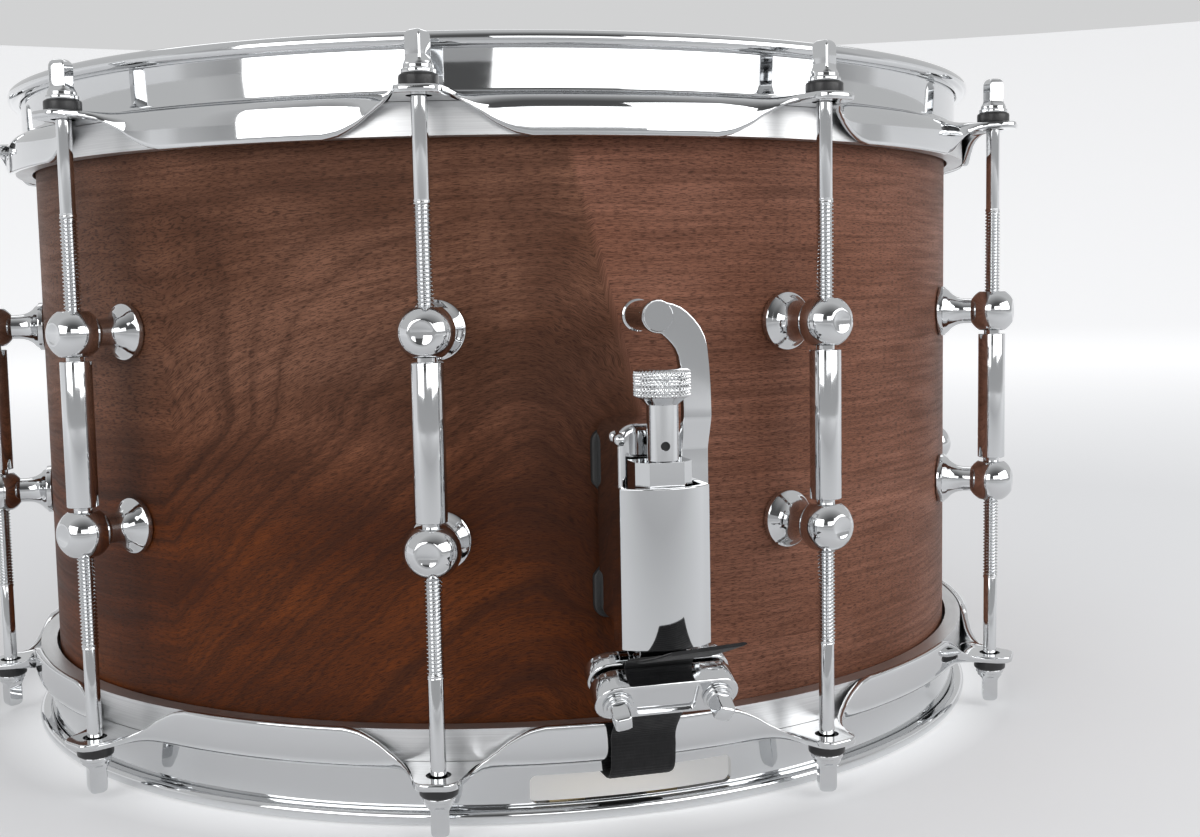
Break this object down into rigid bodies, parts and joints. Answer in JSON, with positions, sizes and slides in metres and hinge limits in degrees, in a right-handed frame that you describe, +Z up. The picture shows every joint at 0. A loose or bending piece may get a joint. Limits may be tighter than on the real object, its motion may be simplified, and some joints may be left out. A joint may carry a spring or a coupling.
{
  "type": "snare drum",
  "caption": "Wooden snare drum with steel hoops, ball lugs, tension rods, a sideways throw-off lever with tension knob and strap clamp, and snare wires.",
  "frame": {"origin": "centre of the drum on the plane of its bottom rim", "axes": "+Z up along the drum axis to the batter head, -Y to the throw-off, +Y to the butt plate"},
  "size_m": [0.41, 0.4415, 0.232],
  "materials": {
    "walnut_ply": "satin walnut veneer",
    "hoop_chrome": "mirror chrome",
    "lug_chrome": "mirror chrome",
    "rod_chrome": "mirror chrome",
    "strainer_chrome": "mirror chrome",
    "black_nylon": "satin black",
    "coated_film": "rough white coating",
    "clear_film": "hazy clear film",
    "satin_aluminium": "satin",
    "zinc_steel": "zinc plated",
    "black_rubber": "matte",
    "black_ribbon": "ribbed ribbon",
    "snare_steel": "bright wire",
    "plate_brass": "plain brass"
  },
  "bodies": {
    "drum": {"shell": "walnut_ply", "top_hoop": "hoop_chrome", "bottom_hoop": "hoop_chrome", "batter_head": "coated_film", "batter_flesh_hoop": "satin_aluminium", "snare_head": "clear_film", "snare_flesh_hoop": "satin_aluminium", "lug_01": "lug_chrome", "lug_02": "lug_chrome", "lug_03": "lug_chrome", "lug_04": "lug_chrome", "lug_05": "lug_chrome", "lug_06": "lug_chrome", "lug_07": "lug_chrome", "lug_08": "lug_chrome", "lug_09": "lug_chrome", "lug_10": "lug_chrome", "rod_washers": "black_nylon", "lug_screws": "zinc_steel", "lug_screw_washers": "zinc_steel", "vent_grommet": "strainer_chrome", "strainer_gasket": "black_rubber", "strainer_base": "strainer_chrome", "strainer_cover": "strainer_chrome", "strainer_screws": "zinc_steel", "lever_pivot": "zinc_steel", "front_strap": "black_ribbon", "snare_wires": "snare_steel", "snare_end_plates": "plate_brass", "rear_strap": "black_ribbon", "butt_gasket": "black_rubber", "butt_plate": "strainer_chrome", "butt_jaw": "strainer_chrome", "butt_bolts": "strainer_chrome"},
    "top_rod_01": {"top_rod_01": "rod_chrome"},
    "top_rod_02": {"top_rod_02": "rod_chrome"},
    "top_rod_03": {"top_rod_03": "rod_chrome"},
    "top_rod_04": {"top_rod_04": "rod_chrome"},
    "top_rod_05": {"top_rod_05": "rod_chrome"},
    "top_rod_06": {"top_rod_06": "rod_chrome"},
    "top_rod_07": {"top_rod_07": "rod_chrome"},
    "top_rod_08": {"top_rod_08": "rod_chrome"},
    "top_rod_09": {"top_rod_09": "rod_chrome"},
    "top_rod_10": {"top_rod_10": "rod_chrome"},
    "bottom_rod_01": {"bottom_rod_01": "rod_chrome"},
    "bottom_rod_02": {"bottom_rod_02": "rod_chrome"},
    "bottom_rod_03": {"bottom_rod_03": "rod_chrome"},
    "bottom_rod_04": {"bottom_rod_04": "rod_chrome"},
    "bottom_rod_05": {"bottom_rod_05": "rod_chrome"},
    "bottom_rod_06": {"bottom_rod_06": "rod_chrome"},
    "bottom_rod_07": {"bottom_rod_07": "rod_chrome"},
    "bottom_rod_08": {"bottom_rod_08": "rod_chrome"},
    "bottom_rod_09": {"bottom_rod_09": "rod_chrome"},
    "bottom_rod_10": {"bottom_rod_10": "rod_chrome"},
    "lever": {"throw_lever": "strainer_chrome"},
    "carriage": {"carriage": "strainer_chrome"},
    "knob": {"tension_knob": "strainer_chrome"},
    "clamp": {"clamp_rear_jaw": "strainer_chrome", "clamp_front_jaw": "strainer_chrome", "clamp_bolts": "strainer_chrome"}
  },
  "joints": [
    {"name": "top_rod_01_turn", "type": "hinge", "parent": "drum", "child": "top_rod_01", "pos_m": [0.06057, -0.18641, 0.19], "axis": [0, 0, 1], "continuous": true},
    {"name": "top_rod_02_turn", "type": "hinge", "parent": "drum", "child": "top_rod_02", "pos_m": [0.15857, -0.11521, 0.19], "axis": [0, 0, 1], "continuous": true},
    {"name": "top_rod_03_turn", "type": "hinge", "parent": "drum", "child": "top_rod_03", "pos_m": [0.196, 0, 0.19], "axis": [0, 0, 1], "continuous": true},
    {"name": "top_rod_04_turn", "type": "hinge", "parent": "drum", "child": "top_rod_04", "pos_m": [0.15857, 0.11521, 0.19], "axis": [0, 0, 1], "continuous": true},
    {"name": "top_rod_05_turn", "type": "hinge", "parent": "drum", "child": "top_rod_05", "pos_m": [0.06057, 0.18641, 0.19], "axis": [0, 0, 1], "continuous": true},
    {"name": "top_rod_06_turn", "type": "hinge", "parent": "drum", "child": "top_rod_06", "pos_m": [-0.06057, 0.18641, 0.19], "axis": [0, 0, 1], "continuous": true},
    {"name": "top_rod_07_turn", "type": "hinge", "parent": "drum", "child": "top_rod_07", "pos_m": [-0.15857, 0.11521, 0.19], "axis": [0, 0, 1], "continuous": true},
    {"name": "top_rod_08_turn", "type": "hinge", "parent": "drum", "child": "top_rod_08", "pos_m": [-0.196, 0, 0.19], "axis": [0, 0, 1], "continuous": true},
    {"name": "top_rod_09_turn", "type": "hinge", "parent": "drum", "child": "top_rod_09", "pos_m": [-0.15857, -0.11521, 0.19], "axis": [0, 0, 1], "continuous": true},
    {"name": "top_rod_10_turn", "type": "hinge", "parent": "drum", "child": "top_rod_10", "pos_m": [-0.06057, -0.18641, 0.19], "axis": [0, 0, 1], "continuous": true},
    {"name": "bottom_rod_01_turn", "type": "hinge", "parent": "drum", "child": "bottom_rod_01", "pos_m": [0.06057, -0.18641, 0.042], "axis": [0, 0, 1], "continuous": true},
    {"name": "bottom_rod_02_turn", "type": "hinge", "parent": "drum", "child": "bottom_rod_02", "pos_m": [0.15857, -0.11521, 0.042], "axis": [0, 0, 1], "continuous": true},
    {"name": "bottom_rod_03_turn", "type": "hinge", "parent": "drum", "child": "bottom_rod_03", "pos_m": [0.196, 0, 0.042], "axis": [0, 0, 1], "continuous": true},
    {"name": "bottom_rod_04_turn", "type": "hinge", "parent": "drum", "child": "bottom_rod_04", "pos_m": [0.15857, 0.11521, 0.042], "axis": [0, 0, 1], "continuous": true},
    {"name": "bottom_rod_05_turn", "type": "hinge", "parent": "drum", "child": "bottom_rod_05", "pos_m": [0.06057, 0.18641, 0.042], "axis": [0, 0, 1], "continuous": true},
    {"name": "bottom_rod_06_turn", "type": "hinge", "parent": "drum", "child": "bottom_rod_06", "pos_m": [-0.06057, 0.18641, 0.042], "axis": [0, 0, 1], "continuous": true},
    {"name": "bottom_rod_07_turn", "type": "hinge", "parent": "drum", "child": "bottom_rod_07", "pos_m": [-0.15857, 0.11521, 0.042], "axis": [0, 0, 1], "continuous": true},
    {"name": "bottom_rod_08_turn", "type": "hinge", "parent": "drum", "child": "bottom_rod_08", "pos_m": [-0.196, 0, 0.042], "axis": [0, 0, 1], "continuous": true},
    {"name": "bottom_rod_09_turn", "type": "hinge", "parent": "drum", "child": "bottom_rod_09", "pos_m": [-0.15857, -0.11521, 0.042], "axis": [0, 0, 1], "continuous": true},
    {"name": "bottom_rod_10_turn", "type": "hinge", "parent": "drum", "child": "bottom_rod_10", "pos_m": [-0.06057, -0.18641, 0.042], "axis": [0, 0, 1], "continuous": true},
    {"name": "lever_swing", "type": "hinge", "parent": "drum", "child": "lever", "pos_m": [-0.001, -0.204, 0.092], "axis": [0, 1, 0], "range_deg": [0, 50.02]},
    {"name": "carriage_slide", "type": "slide", "parent": "drum", "child": "carriage", "axis": [0, 0, -1], "range_m": [0, 0.006], "deforming": ["front_strap"]},
    {"name": "knob_turn", "type": "hinge", "parent": "carriage", "child": "knob", "pos_m": [0, -0.2132, 0.12], "axis": [0, 0, -1], "range_deg": [-720.2, 720.2]},
    {"name": "clamp_slide", "type": "slide", "parent": "carriage", "child": "clamp", "axis": [0, 0, 1], "range_m": [-0.0016, 0.0016], "deforming": ["front_strap"]}
  ],
  "couplings": [
    {"joint": "lever_swing", "follows": "carriage_slide", "rad_per_m": 145.44},
    {"joint": "knob_turn", "follows": "clamp_slide", "rad_per_m": 7854}
  ]
}
